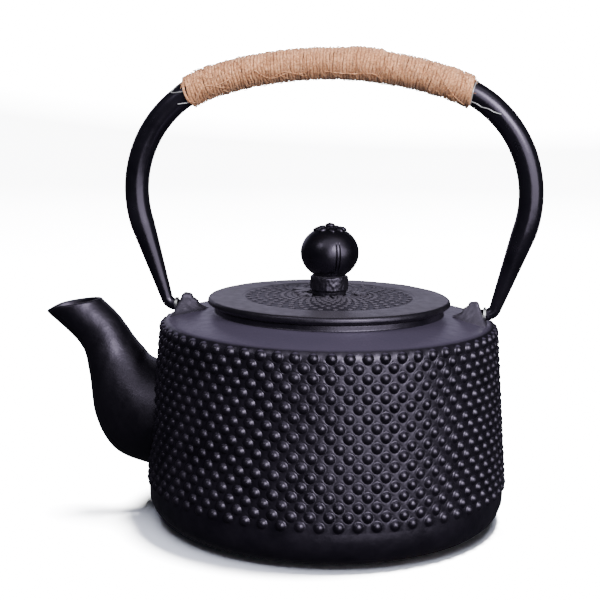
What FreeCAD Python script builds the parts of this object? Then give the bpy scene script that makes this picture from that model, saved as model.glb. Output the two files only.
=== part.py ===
import FreeCAD, Part
import math
import os

# A cast iron teapot: a hobnail pot with a curved spout and two lugs, a loose lid with a ball knob,
# a steel strainer basket hung in the mouth, and a black tube bail bound with jute twine.
# Millimetres. The origin is the centre of the base, where the pot stands. +Z is up, the spout
# points to -X, and the bail swings about a line parallel to X.

V = FreeCAD.Vector
UP = V(0, 0, 1)
ALONG_X = V(1, 0, 0)
ALONG_Y = V(0, 1, 0)

# ---- driving dimensions ---------------------------------------------------------------------
# Pot body. The wall is a cone that narrows upwards.
WALL_FOOT_R, WALL_FOOT_Z = 73.8, 12.0
WALL_TOP_R, WALL_TOP_Z = 68.1, 82.35
BASE_CORNER_R = 11.5
SHOULDER_CORNER_R = 3.5
SHOULDER_INNER_R, SHOULDER_INNER_Z = 47.3, 85.6
WALL = 3.4
BASE_THICKNESS = 4.0
INSIDE_CORNER_R = 8.0

# Mouth of the pot: an upright ring with a ledge inside it, for the strainer's rim.
MOUTH_RING_R = 47.0
MOUTH_TOP_Z = 88.2
LEDGE_R, LEDGE_Z = 44.4, 86.4
MOUTH_R = 42.0
MOUTH_LOWER_Z = 82.4

# Spout: each row is the upper edge (x, z), the lower edge (x, z) and half the width there.
SPOUT_SECTIONS = (
    ((-60.0, 61.0), (-60.0, 17.0), 24.0),
    ((-74.4, 62.9), (-76.0, 18.4), 22.5),
    ((-79.0, 67.5), (-90.0, 23.9), 19.0),
    ((-82.6, 72.0), (-98.1, 37.2), 15.4),
    ((-86.0, 76.9), (-101.0, 55.7), 12.3),
    ((-90.0, 82.0), (-104.9, 68.2), 10.0),
    ((-95.8, 87.3), (-119.3, 81.5), 9.5),
)
SPOUT_WALLS = (3.2, 3.2, 3.2, 3.0, 2.8, 2.4, 1.7)
SPOUT_CLEAR = 6.0

# Lugs, one on the spout's side and one at the rear. x counts outwards from the pot's axis.
LUG_FOOT_Z, LUG_TOP_Z = 80.0, 91.5
LUG_FOOT = ((43.0, 0.95), (65.2, 12.6))
LUG_TOP = ((57.0, 1.3), (61.6, 3.4))
LUG_ROUND = 0.9

# Bail pivots
PIVOT_Z = 86.4
PIN_R = 2.1
PIN_CLEARANCE = 0.06
PIN_END_X = 58.8
SPOT_FACE_X = 63.2
COLLAR_THICKNESS = 1.0
COLLAR_R = 3.0
SPOT_FACE_R = 3.5
COLLAR_GAP = 0.03

# Bail: two side arcs of one radius, joined by a wide arc over the top, and straight tapered legs.
BAIL_R, BAIL_BORE_R = 5.0, 4.0
HOOK_R, HOOK_BORE_R = 2.5, 0.9
SIDE_ARC_R = 46.5
SIDE_ARC_X, SIDE_ARC_Z = 34.1, 134.5
TOP_ARC_START = 18.0
LEG_LEAN = 18.3
HOOK_BEND_R = 3.9

# Jute wrap over the top of the bail, and a wire tie at each of its ends
WRAP_R = 6.35
WRAP_GAP = 0.05
WRAP_END_LEFT = 57.2
WRAP_END_RIGHT = 62.4
WIRE_R = 0.45
TIE_OFFSET = 1.9
TIE_TAIL = 11.0

# Lid
LID_R, LID_RIM_Z = 49.9, 91.6
LID_CENTRE_R, LID_CENTRE_Z = 9.0, 92.6
LID_THICKNESS = 2.9
FLANGE_R, FLANGE_WALL, FLANGE_Z = 40.6, 2.2, 81.2

# Knob: a flattened ball with a small crown, held through the lid by a nut under it
BALL_R, BALL_HALF_HEIGHT, BALL_Z = 12.0, 10.8, 110.0
CROWN_R, CROWN_TOP_Z, FINIAL_R, KNOB_TOP_Z = 6.8, 120.6, 2.2, 121.8
KNOB_FOOT_R, KNOB_FOOT_Z = 6.7, 100.8
KNOB_COLLAR_R = 7.9
STEM_R, STEM_HOLE_R, STEM_END_Z = 2.4, 2.6, 82.6
WASHER_R, WASHER_THICKNESS = 6.5, 0.9
NUT_ACROSS_FLATS, NUT_HEIGHT = 8.0, 3.4

# Strainer basket
BASKET_R, SHEET = 41.6, 0.5
RIM_R = 44.0
COLLAR_BOTTOM_Z = 74.0
BASKET_BOTTOM_Z = 42.0
BASKET_CORNER_R = 3.0


# ---- helpers ---------------------------------------------------------------------------------
def rounded_outline(corners):
    """Closed wire in the XZ plane through (x, z, radius) corners, each rounded by its radius."""
    count = len(corners)
    entries, exits, middles = [], [], []
    for i, (x, z, radius) in enumerate(corners):
        here = V(x, 0, z)
        before = V(corners[i - 1][0], 0, corners[i - 1][1]) - here
        after = V(corners[(i + 1) % count][0], 0, corners[(i + 1) % count][1]) - here
        before.normalize()
        after.normalize()
        half = before.getAngle(after) / 2
        setback = radius / math.tan(half)
        entries.append(here + before * setback)
        exits.append(here + after * setback)
        inward = (before + after).normalize() if radius else V()
        middles.append(here + inward * (radius / math.sin(half) - radius))
    edges = []
    for i in range(count):
        if corners[i][2]:
            edges.append(Part.Arc(entries[i], middles[i], exits[i]).toShape())
        start, end = exits[i], entries[(i + 1) % count]
        if start.distanceToPoint(end) > 1e-6:
            edges.append(Part.LineSegment(start, end).toShape())
    return Part.Wire(edges)


def revolved(corners):
    """Solid of revolution about Z from an outline of (radius, z, rounding) corners."""
    return Part.Face(rounded_outline(corners)).revolve(V(), UP, 360)


def ring(outer_r, inner_r, low_z, high_z):
    outer = Part.makeCylinder(outer_r, high_z - low_z, V(0, 0, low_z))
    return outer.cut(Part.makeCylinder(inner_r, high_z - low_z, V(0, 0, low_z)))


def mirrored_in_x(shape):
    return shape.mirror(V(), ALONG_X)


# ---- pot ---------------------------------------------------------------------------------------
def pot_outline():
    """Corners of the pot's outside, from the centre of the base up to the shoulder."""
    lean = (WALL_FOOT_R - WALL_TOP_R) / (WALL_TOP_Z - WALL_FOOT_Z)
    base_r = WALL_FOOT_R + lean * WALL_FOOT_Z
    return [
        (0, 0, 0),
        (base_r, 0, BASE_CORNER_R),
        (WALL_TOP_R, WALL_TOP_Z, SHOULDER_CORNER_R),
        (SHOULDER_INNER_R, SHOULDER_INNER_Z, 0),
    ]


def pot_envelope():
    """The pot's outside as one solid with no mouth, for trimming what is joined to it."""
    return revolved(pot_outline() + [(0, SHOULDER_INNER_Z, 0)])


def make_pot_body():
    lean = (WALL_FOOT_R - WALL_TOP_R) / (WALL_TOP_Z - WALL_FOOT_Z)
    inside_foot_r = WALL_FOOT_R - WALL + lean * (WALL_FOOT_Z - BASE_THICKNESS)
    inside_top_z = WALL_TOP_Z - WALL
    inside_top_r = WALL_FOOT_R - WALL - lean * (inside_top_z - WALL_FOOT_Z)
    shell = revolved(
        pot_outline()[:-1]
        + [
            (SHOULDER_INNER_R - 0.3, SHOULDER_INNER_Z, 0.8),
            (MOUTH_RING_R, MOUTH_TOP_Z, 0.6),
            (LEDGE_R, MOUTH_TOP_Z, 0.3),
            (LEDGE_R, LEDGE_Z, 0),
            (MOUTH_R, LEDGE_Z, 0.3),
            (MOUTH_R, MOUTH_LOWER_Z, 0.8),
            (inside_top_r, inside_top_z, 3.0),
            (inside_foot_r, BASE_THICKNESS, INSIDE_CORNER_R),
            (0, BASE_THICKNESS, 0),
        ]
    )
    return shell.cut(spout_channel())


# ---- spout -------------------------------------------------------------------------------------
def spout_ellipse(upper, lower, half_width, inset):
    """Ellipse between an upper and a lower edge point, shrunk by inset all round.

    It is a stretched circle, so every section starts at its top and the loft has no twist.
    """
    top, bottom = V(upper[0], 0, upper[1]), V(lower[0], 0, lower[1])
    centre = (top + bottom) * 0.5
    up = (top - bottom) * 0.5
    tall = up * ((up.Length - inset) / up.Length)
    broad = ALONG_Y * (half_width - inset)
    out = up.cross(ALONG_Y).normalize()
    stretch = FreeCAD.Matrix(
        tall.x, broad.x, out.x, centre.x,
        tall.y, broad.y, out.y, centre.y,
        tall.z, broad.z, out.z, centre.z,
        0, 0, 0, 1,
    )
    return Part.Wire([Part.Circle(V(0, 0, 0), UP, 1).toShape().transformGeometry(stretch)])


def spout_channel():
    """The way through the spout, from inside the pot to beyond the lip."""
    wires = [
        spout_ellipse(upper, lower, half_width, wall)
        for (upper, lower, half_width), wall in zip(SPOUT_SECTIONS, SPOUT_WALLS)
    ]
    upper, lower, half_width = SPOUT_SECTIONS[-1]
    out = V(lower[1] - upper[1], 0, upper[0] - lower[0]).normalize()
    inner_end = wires[0].translated(ALONG_X * SPOUT_CLEAR)
    outer_end = wires[-1].translated(out * SPOUT_CLEAR)
    return Part.makeLoft([inner_end] + wires + [outer_end], True, False)


def make_spout(envelope):
    wires = [spout_ellipse(upper, lower, half_width, 0) for upper, lower, half_width in SPOUT_SECTIONS]
    return Part.makeLoft(wires, True, False).cut(spout_channel()).cut(envelope)


# ---- lugs --------------------------------------------------------------------------------------
def lug_section(inner, outer, z):
    """Four-sided section of a lug: narrow towards the mouth, wide at the outside."""
    (inner_x, inner_half), (outer_x, outer_half) = inner, outer
    points = [
        V(inner_x, -inner_half, z),
        V(outer_x, -outer_half, z),
        V(outer_x, outer_half, z),
        V(inner_x, inner_half, z),
    ]
    return Part.makePolygon(points + points[:1])


def make_rear_lug(envelope):
    foot = lug_section(*LUG_FOOT, LUG_FOOT_Z)
    top = lug_section(*LUG_TOP, LUG_TOP_Z)
    block = Part.makeLoft([foot, top], True, True)
    upper_edges = [edge for edge in block.Edges if edge.BoundBox.ZMax > LUG_TOP_Z - 0.01]
    block = block.makeFillet(LUG_ROUND, upper_edges)
    lug_length = LUG_FOOT[1][0] - LUG_FOOT[0][0]
    bore = Part.makeCylinder(PIN_R + PIN_CLEARANCE, lug_length, V(LUG_FOOT[0][0], 0, PIVOT_Z), ALONG_X)
    spot_face = Part.makeCylinder(SPOT_FACE_R, lug_length, V(SPOT_FACE_X, 0, PIVOT_Z), ALONG_X)
    return block.cut(envelope).cut(bore).cut(spot_face)


# ---- bail --------------------------------------------------------------------------------------
def side_point(angle, radius=SIDE_ARC_R):
    """Point on the right side arc, with angle in degrees up from level."""
    turn = math.radians(angle)
    return V(SIDE_ARC_X + radius * math.cos(turn), 0, SIDE_ARC_Z + radius * math.sin(turn))


def bail_path():
    """The right half of the bail's centre line: leg foot, leg top, arc end, top, and arc middles."""
    leg_top = side_point(-LEG_LEAN)
    lean = math.radians(LEG_LEAN)
    down = V(-math.sin(lean), 0, -math.cos(lean))
    corner = leg_top + down * ((leg_top.z - PIVOT_Z) / math.cos(lean))
    half_turn = math.radians(90 - LEG_LEAN) / 2
    setback = HOOK_BEND_R * math.tan(half_turn)
    leg_foot = corner - down * setback
    pin_start = corner - ALONG_X * setback
    bisector = (ALONG_X * -1 - down).normalize()
    bend_middle = corner + bisector * (HOOK_BEND_R / math.cos(half_turn) - HOOK_BEND_R)
    arc_end = side_point(90 - TOP_ARC_START)
    return {
        "pin_start": pin_start,
        "bend_middle": bend_middle,
        "leg_foot": leg_foot,
        "leg_top": leg_top,
        "arc_middle": side_point((90 - TOP_ARC_START - LEG_LEAN) / 2),
        "arc_end": arc_end,
    }


def top_arc_centre():
    """Centre of the wide arc over the top, which is tangent to both side arcs."""
    turn = math.radians(TOP_ARC_START)
    start = side_point(90 - TOP_ARC_START)
    radius = start.x / math.sin(turn)
    return V(0, 0, start.z - radius * math.cos(turn)), radius


def swept_arc(start, middle, end, tangent, radius):
    """Round bar of one radius along an arc."""
    path = Part.Wire([Part.Arc(start, middle, end).toShape()])
    section = Part.Wire([Part.Circle(start, tangent, radius).toShape()])
    return path.makePipeShell([section], True, True)


def half_bail(main_r, hook_r, pin_r, pin_end_x):
    """Right half of the bail as a solid of the given radii."""
    path = bail_path()
    leg = path["leg_top"] - path["leg_foot"]
    centre, radius = top_arc_centre()
    turn = math.radians(TOP_ARC_START / 2)
    top_middle = centre + V(radius * math.sin(turn), 0, radius * math.cos(turn))
    top = centre + UP * radius
    pin_length = path["pin_start"].x - pin_end_x
    pieces = [
        Part.makeCone(hook_r, main_r, leg.Length, path["leg_foot"], leg),
        swept_arc(path["leg_foot"], path["bend_middle"], path["pin_start"], leg, hook_r),
        Part.makeCylinder(pin_r, pin_length, V(pin_end_x, 0, PIVOT_Z), ALONG_X),
        swept_arc(path["leg_top"], path["arc_middle"], path["arc_end"], leg, main_r),
        swept_arc(top, top_middle, path["arc_end"], ALONG_X, main_r),
    ]
    return pieces[0].multiFuse(pieces[1:])


def make_bail():
    outside = half_bail(BAIL_R, HOOK_R, PIN_R, PIN_END_X)
    bore = half_bail(BAIL_BORE_R, HOOK_BORE_R, HOOK_BORE_R, PIN_END_X - 1)
    half = outside.cut(bore)
    return half.fuse(mirrored_in_x(half)).removeSplitter()


def make_pivot_collar():
    start = V(SPOT_FACE_X + PIN_CLEARANCE, 0, PIVOT_Z)
    collar = Part.makeCylinder(COLLAR_R, COLLAR_THICKNESS, start, ALONG_X)
    return collar.cut(Part.makeCylinder(PIN_R + COLLAR_GAP, COLLAR_THICKNESS, start, ALONG_X))


# ---- jute wrap and wire ties -------------------------------------------------------------------
def wrap_half(end_angle, radius):
    """One side of the wrap, from the top of the bail to an angle on the side arc."""
    centre, arc_radius = top_arc_centre()
    turn = math.radians(TOP_ARC_START / 2)
    top_middle = centre + V(arc_radius * math.sin(turn), 0, arc_radius * math.cos(turn))
    top = centre + UP * arc_radius
    arc_start = side_point(90 - TOP_ARC_START)
    middle = side_point((90 - TOP_ARC_START + end_angle) / 2)
    end = side_point(end_angle)
    along = V(arc_start.z - SIDE_ARC_Z, 0, SIDE_ARC_X - arc_start.x)
    over_top = swept_arc(top, top_middle, arc_start, ALONG_X, radius)
    return over_top.fuse(swept_arc(arc_start, middle, end, along, radius))


def make_wrap():
    def both(radius, more):
        right = wrap_half(WRAP_END_RIGHT - more, radius)
        left = mirrored_in_x(wrap_half(WRAP_END_LEFT - more, radius))
        return right.fuse(left)

    return both(WRAP_R, 0).cut(both(BAIL_R + WRAP_GAP, 1)).removeSplitter()


def make_wire_tie(wrap_end, tail_side):
    """A ring of thin wire round the bail beside the wrap's end, with a straight tail."""
    angle = wrap_end - TIE_OFFSET
    turn = math.radians(angle)
    centre = side_point(angle)
    along = V(-math.sin(turn), 0, math.cos(turn))
    ring_r = BAIL_R + WRAP_GAP + WIRE_R
    loop = Part.makeTorus(ring_r, WIRE_R, centre, along)
    outward = V(math.cos(turn), 0, math.sin(turn))
    start = centre + ALONG_Y * -ring_r
    tail = Part.makeCylinder(WIRE_R, TIE_TAIL, start, outward * tail_side + ALONG_Y * -0.25)
    return loop.fuse(tail)


# ---- lid and knob ------------------------------------------------------------------------------
def make_lid():
    under_z = LID_CENTRE_Z - LID_THICKNESS
    return revolved(
        [
            (STEM_HOLE_R, LID_CENTRE_Z, 0),
            (LID_CENTRE_R, LID_CENTRE_Z, 0),
            (LID_R - 0.1, LID_RIM_Z, 1.4),
            (LID_R, MOUTH_TOP_Z + 1.5, 0.4),
            (LID_R - 2.0, MOUTH_TOP_Z, 0.5),
            (FLANGE_R, MOUTH_TOP_Z, 0),
            (FLANGE_R, FLANGE_Z, 0.5),
            (FLANGE_R - FLANGE_WALL, FLANGE_Z, 0.5),
            (FLANGE_R - FLANGE_WALL, MOUTH_TOP_Z, 1.0),
            (LID_CENTRE_R, under_z, 0),
            (STEM_HOLE_R, under_z, 0),
        ]
    )


def make_knob():
    turn = math.acos(KNOB_FOOT_R / BALL_R)
    foot_z = BALL_Z - BALL_HALF_HEIGHT * math.sin(turn)
    ball = Part.makeSphere(BALL_R)
    squash = FreeCAD.Matrix()
    squash.scale(V(1, 1, BALL_HALF_HEIGHT / BALL_R))
    ball = ball.transformGeometry(squash)
    ball.translate(V(0, 0, BALL_Z))
    above_foot = Part.makeCylinder(BALL_R + 1, CROWN_TOP_Z - foot_z, V(0, 0, foot_z))
    foot = Part.makeCylinder(KNOB_FOOT_R, foot_z + 0.4 - KNOB_FOOT_Z, V(0, 0, KNOB_FOOT_Z))
    crown_base_z = BALL_Z + BALL_HALF_HEIGHT * math.sqrt(1 - (CROWN_R / BALL_R) ** 2) - 0.4
    crown = Part.makeCone(CROWN_R, CROWN_R - 1.2, CROWN_TOP_Z - crown_base_z, V(0, 0, crown_base_z))
    finial = Part.makeSphere(FINIAL_R, V(0, 0, KNOB_TOP_Z - FINIAL_R))
    stem = Part.makeCylinder(STEM_R, KNOB_FOOT_Z + 1 - STEM_END_Z, V(0, 0, STEM_END_Z))
    return ball.common(above_foot).multiFuse([foot, crown, finial, stem])


def make_knob_collar():
    height = KNOB_FOOT_Z - LID_CENTRE_Z
    return revolved(
        [
            (STEM_HOLE_R, LID_CENTRE_Z, 0),
            (KNOB_COLLAR_R - 0.9, LID_CENTRE_Z, 0),
            (KNOB_COLLAR_R - 0.7, LID_CENTRE_Z + 0.22 * height, 0.4),
            (KNOB_COLLAR_R, LID_CENTRE_Z + 0.3 * height, 0.5),
            (KNOB_COLLAR_R, KNOB_FOOT_Z - 0.4, 0.7),
            (KNOB_FOOT_R - 0.3, KNOB_FOOT_Z, 0),
            (STEM_HOLE_R, KNOB_FOOT_Z, 0),
        ]
    )


def lid_underside_z():
    return LID_CENTRE_Z - LID_THICKNESS


def make_knob_washer():
    top_z = lid_underside_z()
    return ring(WASHER_R, STEM_HOLE_R, top_z - WASHER_THICKNESS, top_z)


def make_knob_nut():
    top_z = lid_underside_z() - WASHER_THICKNESS
    corner_r = NUT_ACROSS_FLATS / math.sqrt(3)
    corners = [
        V(corner_r * math.cos(math.radians(60 * k)), corner_r * math.sin(math.radians(60 * k)), top_z)
        for k in range(6)
    ]
    prism = Part.Face(Part.makePolygon(corners + corners[:1])).extrude(UP * -NUT_HEIGHT)
    bore = Part.makeCylinder(STEM_R + COLLAR_GAP, NUT_HEIGHT, V(0, 0, top_z - NUT_HEIGHT))
    return prism.cut(bore)


# ---- strainer basket ---------------------------------------------------------------------------
def make_strainer_rim():
    """Stamped ring: a flat flange on the pot's ledge, and a short collar below it."""
    return revolved(
        [
            (RIM_R, LEDGE_Z, 0),
            (RIM_R, LEDGE_Z + SHEET, 0),
            (BASKET_R - SHEET, LEDGE_Z + SHEET, SHEET),
            (BASKET_R - SHEET, COLLAR_BOTTOM_Z, 0),
            (BASKET_R, COLLAR_BOTTOM_Z, 0),
            (BASKET_R, LEDGE_Z, 0),
        ]
    )


def make_strainer_mesh():
    """The basket's mesh wall, as a plain sleeve, seated inside the rim's collar."""
    outer_r = BASKET_R - SHEET
    return ring(outer_r, outer_r - SHEET, BASKET_BOTTOM_Z + BASKET_CORNER_R + 2, COLLAR_BOTTOM_Z + 4)


def make_strainer_base():
    """The basket's cup-shaped base, which holds the lower edge of the mesh."""
    outer_r = BASKET_R - SHEET
    top_z = BASKET_BOTTOM_Z + BASKET_CORNER_R + 2
    return revolved(
        [
            (0, BASKET_BOTTOM_Z, 0),
            (outer_r, BASKET_BOTTOM_Z, BASKET_CORNER_R),
            (outer_r, top_z, 0),
            (outer_r - SHEET, top_z, 0),
            (outer_r - SHEET, BASKET_BOTTOM_Z + SHEET, BASKET_CORNER_R - SHEET),
            (0, BASKET_BOTTOM_Z + SHEET, 0),
        ]
    )


# ---- build and write ---------------------------------------------------------------------------
def build():
    envelope = pot_envelope()
    rear_lug = make_rear_lug(envelope)
    collar = make_pivot_collar()
    left_tie = make_wire_tie(WRAP_END_LEFT, -1)
    return {
        "pot_body": make_pot_body(),
        "spout": make_spout(envelope),
        "rear_lug": rear_lug,
        "spout_side_lug": mirrored_in_x(rear_lug),
        "strainer_rim": make_strainer_rim(),
        "strainer_mesh": make_strainer_mesh(),
        "strainer_base": make_strainer_base(),
        "lid": make_lid(),
        "knob_collar": make_knob_collar(),
        "knob": make_knob(),
        "knob_washer": make_knob_washer(),
        "knob_nut": make_knob_nut(),
        "bail_tube": make_bail(),
        "rear_pivot_collar": collar,
        "spout_side_pivot_collar": mirrored_in_x(collar),
        "jute_wrap": make_wrap(),
        "rear_wire_tie": make_wire_tie(WRAP_END_RIGHT, 1),
        "spout_side_wire_tie": mirrored_in_x(left_tie),
    }


os.makedirs("parts", exist_ok=True)
for node, shape in build().items():
    solids = len(shape.Solids)
    shape.exportStep(os.path.join("parts", node + ".step"))
    print(node, "valid" if shape.isValid() else "INVALID", solids, round(shape.Volume, 1))
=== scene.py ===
"""Looks for the cast iron teapot: cast surfaces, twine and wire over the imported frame.

Lengths are in millimetres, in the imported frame: the origin is the centre of the base, +Z is up,
the spout points to -X and the front is -Y. They become metres only where a mesh is made.
"""

import bisect
import random
from math import acos, atan2, ceil, cos, degrees, exp, hypot, pi, radians, sin, sqrt, tan, tau

import bmesh
import bpy
from mathutils import Matrix, Vector, noise


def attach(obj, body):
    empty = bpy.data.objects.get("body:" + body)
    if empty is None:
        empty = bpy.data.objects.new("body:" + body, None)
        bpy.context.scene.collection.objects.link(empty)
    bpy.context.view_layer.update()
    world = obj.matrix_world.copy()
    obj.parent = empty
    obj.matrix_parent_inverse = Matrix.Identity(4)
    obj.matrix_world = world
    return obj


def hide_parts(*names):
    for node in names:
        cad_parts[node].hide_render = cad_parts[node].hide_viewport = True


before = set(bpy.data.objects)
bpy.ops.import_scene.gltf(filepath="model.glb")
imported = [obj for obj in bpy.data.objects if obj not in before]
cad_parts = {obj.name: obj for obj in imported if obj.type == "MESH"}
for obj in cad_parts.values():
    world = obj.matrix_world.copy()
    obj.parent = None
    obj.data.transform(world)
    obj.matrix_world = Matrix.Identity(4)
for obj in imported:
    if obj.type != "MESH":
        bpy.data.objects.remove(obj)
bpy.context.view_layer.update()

MM = 0.001
X, Y, Z = Vector((1, 0, 0)), Vector((0, 1, 0)), Vector((0, 0, 1))

# ---- dimensions shared with the CAD ----
WALL_FOOT_R, WALL_FOOT_Z = 73.8, 12.0
WALL_TOP_R, WALL_TOP_Z = 68.1, 82.35
WALL = 3.4
LEAN = (WALL_FOOT_R - WALL_TOP_R) / (WALL_TOP_Z - WALL_FOOT_Z)
BASE_R = WALL_FOOT_R + LEAN * WALL_FOOT_Z
BASE_CORNER_R, SHOULDER_CORNER_R, INSIDE_CORNER_R = 11.5, 3.5, 8.0
BASE_THICKNESS = 4.0
SHOULDER_INNER_Z = 85.6
MOUTH_RING_R, MOUTH_TOP_Z = 47.0, 88.2
MOUTH_R, MOUTH_LOWER_Z = 42.0, 82.4
LEDGE_R, LEDGE_Z = 44.4, 86.4
SHOULDER_SLOPE = (SHOULDER_INNER_Z - WALL_TOP_Z) / (WALL_TOP_R - MOUTH_RING_R)

# Spout: upper edge (x, z), lower edge (x, z), half width, wall
SPOUT_SECTIONS = (
    (-60.0, 61.0, -60.0, 17.0, 24.0, 3.2),
    (-74.4, 62.9, -76.0, 18.4, 22.5, 3.2),
    (-79.0, 67.5, -90.0, 23.9, 19.0, 3.2),
    (-82.6, 72.0, -98.1, 37.2, 15.4, 3.0),
    (-86.0, 76.9, -101.0, 55.7, 12.3, 2.8),
    (-90.0, 82.0, -104.9, 68.2, 10.0, 2.4),
    (-95.8, 87.3, -119.3, 81.5, 9.5, 1.7),
)

PIVOT_Z, PIN_R, PIN_CLEARANCE, PIN_END_X = 86.4, 2.1, 0.06, 58.8
SPOT_FACE_X, SPOT_FACE_R = 63.2, 3.5
LUG_FOOT_Z, LUG_TOP_Z = 80.0, 91.5
LUG_FOOT = ((43.0, 0.95), (65.2, 12.6))
LUG_TOP = ((57.0, 1.3), (61.6, 3.4))

BAIL_R, HOOK_R = 5.0, 2.5
SIDE_ARC_R, SIDE_ARC_X, SIDE_ARC_Z = 46.5, 34.1, 134.5
TOP_ARC_START, LEG_LEAN, HOOK_BEND_R = 18.0, 18.3, 3.9
WRAP_END_LEFT, WRAP_END_RIGHT = 57.2, 62.4

LID_R, LID_RIM_Z = 49.9, 91.6
LID_CENTRE_R, LID_CENTRE_Z = 9.0, 92.6
LID_THICKNESS = 2.9
FLANGE_R, FLANGE_WALL, FLANGE_Z = 40.6, 2.2, 81.2
STEM_R, STEM_HOLE_R, STEM_END_Z = 2.4, 2.6, 82.6
BALL_R, BALL_HALF_HEIGHT, BALL_Z = 12.0, 10.8, 110.0
KNOB_FOOT_R, KNOB_FOOT_Z, KNOB_COLLAR_R = 6.7, 100.8, 7.9

# ---- dimensions of the surface detail ----
COLUMNS = 256
CELL_STEPS = 12  # steps from one nail, or hole, to the next in its row
NAIL_ROWS, NAILS_PER_ROW = 18, 64
FIRST_ROW_Z, ROW_SPACING = 79.5, 3.68
NAIL_PHASE = radians(0.97)
NAIL_R, NAIL_HEIGHT = 2.1, 1.5
NAIL_RINGS = (0.75, 1.35, 1.8, 2.1, 2.45)
NAIL_DRIFT, NAIL_SIZES, NAIL_RISES = 0.1, (0.95, 1.03), (0.92, 1.05)
BAND_EDGE = 2.6
NET_HEIGHT = 0.22
SPOUT_SIDES, LIP_BEAK = 56, 1.6
SPOUT_UNEVENNESS, CHANNEL_GAP, CHANNEL_RINGS = 0.07, 0.3, 10
ENVELOPE_INSET = 0.6
LUG_LEVELS, LUG_ROUNDING, LUG_RING_POINTS = 26, 1.6, 96
LUG_FILLET, LUG_FILLET_HEIGHT, SPOT_FADE_R = 1.0, 0.8, 4.5
LID_DOT_RINGS = (33.1, 29.5, 25.9, 22.5, 19.4, 16.6, 14.2, 12.2, 10.5)
LID_DOTS_PER_RING = 36
LID_DOT_R, LID_DOT_CROWDING = 1.2, 0.074
LID_DOT_HEIGHT, LID_FLOOR_DEPTH, LID_DOT_TOP, LID_DOT_FLANK = 0.06, 0.3, 0.8, 0.25
DOTS_END_R = 36.0
LID_LEAVES = (  # x, y, heading in degrees, reach, lobes
    (-7.5, 6.0, 150, 10.5, 5),
    (-7.5, -4.5, 230, 6.0, 7),
    (2.5, -7.0, 285, 5.0, 5),
    (10.5, 1.5, 10, 6.0, 5),
)
KNOB_GROOVE_ANGLES = (-67.3, 52.7, 172.7)
KNOB_GROOVE_APART, KNOB_GROOVE_HALF_WIDTH, KNOB_GROOVE_DEPTH = 3.5, 1.4, 0.7
CROWN_PETALS, CROWN_R, CROWN_Z, FINIAL_Z = 8, 4.8, 119.75, 121.0
TIE_R = 0.2
TWINE_PITCH, TWINE_HALF_WIDTH, TWINE_HALF_THICKNESS = 1.32, 0.72, 0.78
TWINE_SIDES, TWINE_TWIST, STEPS_PER_TURN = 9, 0.42, 40
SLANT_REACH, LEFT_SLANT, RIGHT_SLANT = 12, 1.3, 2.0
DOUBLED_START, DOUBLED_END, DOUBLED_LIFT = 4, 20.5, 0.95
STRAND_LIFT, STRAND_HALF_WIDTH, STRAND_HALF_THICKNESS = 1.65, 0.2, 0.18
FIBRES, FIBRE_LIFT = 1400, 1.5
SLEEVE_R, SLEEVE_SHEET, SLEEVE_FOOT_Z, SLEEVE_TOP_Z = 41.1, 0.5, 47.0, 78.0
HOLE_ROWS, HOLES_PER_ROW, HOLE_R = 11, 84, 0.85

# ---- camera ----
CAMERA_PLACE, CAMERA_HEADING = (0.0526, -0.5518, 0.1816), (-0.1163, 0.9932, 0)
CAMERA_PITCH, CAMERA_ROLL = radians(9.38), radians(0.8)
CAMERA_LENS, CAMERA_SENSOR = 81.7, 36


# ---- mesh helpers ----
class Shape:
    """Vertices in millimetres, and faces."""

    def __init__(self):
        self.vertices = []
        self.faces = []

    def add(self, points):
        """Adds vertices and returns their numbers."""
        first = len(self.vertices)
        self.vertices.extend(Vector(point) for point in points)
        return list(range(first, len(self.vertices)))

    def join(self, loop, other):
        """Quads between two closed loops of the same length."""
        count = len(loop)
        for k in range(count):
            self.faces.append((loop[k], loop[(k + 1) % count], other[(k + 1) % count], other[k]))

    def close(self, loop, centre):
        """A fan of triangles from a closed loop to a centre point."""
        middle = self.add([centre])[0]
        for k in range(len(loop)):
            self.faces.append((loop[k], loop[(k + 1) % len(loop)], middle))

    def skin(self, loops, closed=False):
        """Joins rings of points, one after another, and caps both ends unless closed on itself."""
        rings = [self.add(points) for points in loops]
        for ring, following in zip(rings, rings[1:]):
            self.join(ring, following)
        if closed:
            self.join(rings[-1], rings[0])
        else:
            for ring in (rings[0], rings[-1]):
                self.close(ring, sum((self.vertices[k] for k in ring), Vector()) / len(ring))
        return rings


def make_object(name, shape, material):
    """Smooth mesh object from a shape, with its faces turned outwards."""
    mesh = bpy.data.meshes.new(name)
    mesh.from_pydata([point * MM for point in shape.vertices], [], shape.faces)
    tidy = bmesh.new()
    tidy.from_mesh(mesh)
    bmesh.ops.recalc_face_normals(tidy, faces=tidy.faces)
    tidy.to_mesh(mesh)
    tidy.free()
    mesh.shade_smooth()
    mesh.materials.append(material)
    piece = bpy.data.objects.new(name, mesh)
    bpy.context.scene.collection.objects.link(piece)
    return piece


def finish_piece(piece, body, slot, *nodes):
    """The piece rides on a body and stands for CAD nodes, which it hides. The slot argument is not
    used.
    """
    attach(piece, body)
    if nodes:
        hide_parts(*nodes)
    return piece


def add_piece(name, shape, material, body, slot, *nodes):
    return finish_piece(make_object(name, shape, material), body, slot, *nodes)


def cut(piece, cutters):
    """Cuts closed objects out of a piece, and removes them."""
    for cutter in cutters:
        modifier = piece.modifiers.new("cut", "BOOLEAN")
        modifier.operation = "DIFFERENCE"
        modifier.solver = "MANIFOLD"
        modifier.object = cutter
    shaped = piece.evaluated_get(bpy.context.evaluated_depsgraph_get())
    mesh = bpy.data.meshes.new_from_object(shaped)
    piece.modifiers.clear()
    piece.data = mesh
    for cutter in cutters:
        bpy.data.objects.remove(cutter)


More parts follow.
